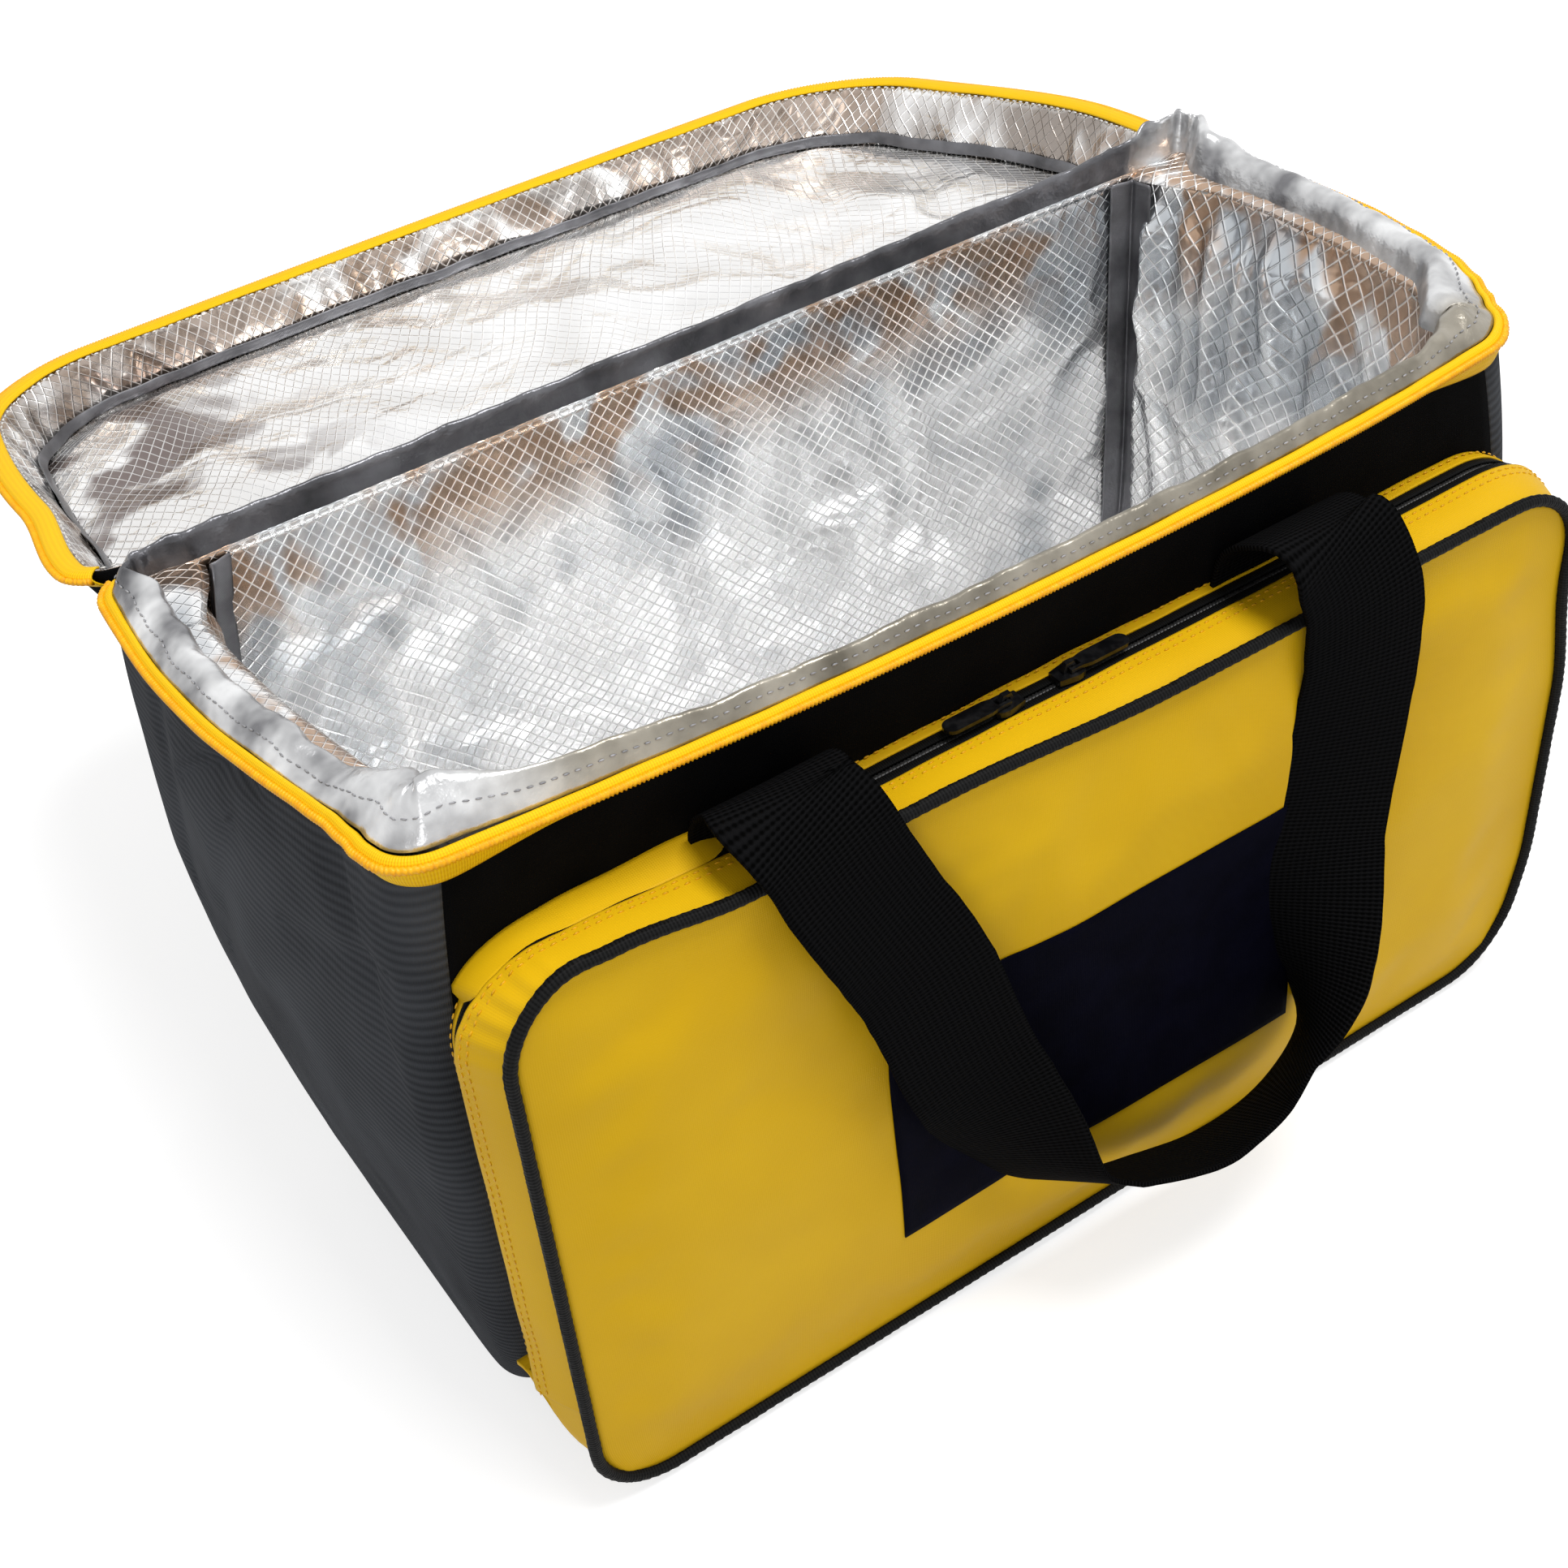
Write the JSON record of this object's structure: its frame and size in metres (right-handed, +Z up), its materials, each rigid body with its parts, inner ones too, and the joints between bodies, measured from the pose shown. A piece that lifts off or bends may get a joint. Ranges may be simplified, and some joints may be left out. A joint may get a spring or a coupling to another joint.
{
  "type": "insulated bag",
  "caption": "Soft insulated bag with a foil-lined body, zip-round lid hinged at the back and standing open, zipped front pocket and two webbing carry handles.",
  "frame": {"origin": "centre of the flat base, on the surface that the bag stands on", "axes": "+Z up out of the opening, +X to the bag's right end as seen from the front, -Y to the front, where the pocket is"},
  "size_m": [0.5297, 0.5485, 0.3056],
  "materials": {
    "black_shell": "matt woven polyester",
    "ribbed_shell": "ribbed woven polyester",
    "yellow_cloth": "coated yellow polyester, slight sheen",
    "yellow_tape": "woven grosgrain tape",
    "black_tape": "woven zip tape and piping",
    "orange_coil": "moulded coil dyed orange",
    "zip_coil": "moulded coil",
    "foil": "foil-faced insulating laminate, embossed",
    "grey_binding": "woven binding tape",
    "foam": "closed-cell foam",
    "navy_patch": "plain sewn patch",
    "webbing": "woven webbing",
    "black_metal": "painted die-cast metal"
  },
  "bodies": {
    "bag": {"front_panel": "black_shell", "back_panel": "black_shell", "base_panel": "black_shell", "hinge_strip_lower": "black_shell", "left_end_panel": "ribbed_shell", "right_end_panel": "ribbed_shell", "pocket_face": "yellow_cloth", "pocket_front_band": "yellow_cloth", "pocket_rear_band": "yellow_cloth", "pocket_lower_gusset": "yellow_cloth", "front_lining": "foil", "back_lining": "foil", "floor_lining": "foil", "left_end_lining": "foil", "right_end_lining": "foil", "lining_flange": "foil", "collar_binding": "grey_binding", "corner_tape_front_left": "grey_binding", "corner_tape_front_right": "grey_binding", "corner_tape_back_left": "grey_binding", "corner_tape_back_right": "grey_binding", "front_foam": "foam", "back_foam": "foam", "base_foam": "foam", "left_end_foam": "foam", "right_end_foam": "foam", "pocket_zip_front_tape": "black_tape", "pocket_zip_rear_tape": "black_tape", "pocket_piping": "black_tape", "body_zip_tape": "yellow_tape", "pocket_zip_coil": "zip_coil", "body_zip_coil": "orange_coil", "label_patch": "navy_patch", "front_handle_tail_left": "webbing", "front_handle_tail_right": "webbing", "back_handle_tail_left": "webbing", "back_handle_tail_right": "webbing"},
    "lid": {"lid_top_panel": "black_shell", "lid_side_wall": "black_shell", "lid_lining": "foil", "lid_side_lining": "foil", "lid_lining_binding": "grey_binding", "lid_foam": "foam", "lid_zip_tape": "yellow_tape", "lid_zip_coil": "orange_coil", "hinge_strip_upper": "black_shell"},
    "front_handle": {"front_handle_loop": "webbing"},
    "back_handle": {"back_handle_loop": "webbing"},
    "left_pocket_slider": {"pocket_left_slider": "black_metal"},
    "left_pocket_pull": {"pocket_left_pull": "black_metal"},
    "right_pocket_slider": {"pocket_right_slider": "black_metal"},
    "right_pocket_pull": {"pocket_right_pull": "black_metal"},
    "main_zip_slider": {"main_slider": "black_metal"},
    "main_zip_pull": {"main_pull": "black_metal"}
  },
  "joints": [
    {"name": "lid_hinge", "type": "hinge", "parent": "bag", "child": "lid", "pos_m": [0, 0.115, 0.28531], "axis": [1, 0, 0], "range_deg": [0, 185.38]},
    {"name": "front_handle_swing", "type": "hinge", "parent": "bag", "child": "front_handle", "pos_m": [0, -0.1533, 0.2665], "axis": [-1, 0, 0], "range_deg": [0, 170]},
    {"name": "back_handle_swing", "type": "hinge", "parent": "bag", "child": "back_handle", "pos_m": [0, 0.1212, 0.238], "axis": [1, 0, 0], "range_deg": [0, 60]},
    {"name": "pocket_left_slide", "type": "slide", "parent": "bag", "child": "left_pocket_slider", "axis": [-1, 0, 0], "range_m": [0, 0.05]},
    {"name": "pocket_left_pull_turn", "type": "hinge", "parent": "left_pocket_slider", "child": "left_pocket_pull", "pos_m": [-0.019, -0.1213, 0.26229], "axis": [0, 1, 0], "range_deg": [0, 115]},
    {"name": "pocket_right_slide", "type": "slide", "parent": "bag", "child": "right_pocket_slider", "axis": [1, 0, 0], "range_m": [0, 0.06]},
    {"name": "pocket_right_pull_turn", "type": "hinge", "parent": "right_pocket_slider", "child": "right_pocket_pull", "pos_m": [0.008, -0.1213, 0.26229], "axis": [0, -1, 0], "range_deg": [0, 115]},
    {"name": "main_slide", "type": "slide", "parent": "bag", "child": "main_zip_slider", "axis": [0.0631, -0.9954, 0.0719], "range_m": [0, 0.05]},
    {"name": "main_pull_turn", "type": "hinge", "parent": "main_zip_slider", "child": "main_zip_pull", "pos_m": [0.26428, 0.08523, 0.28567], "axis": [0.0045, -0.0717, -0.9974], "range_deg": [0, 120]}
  ]
}
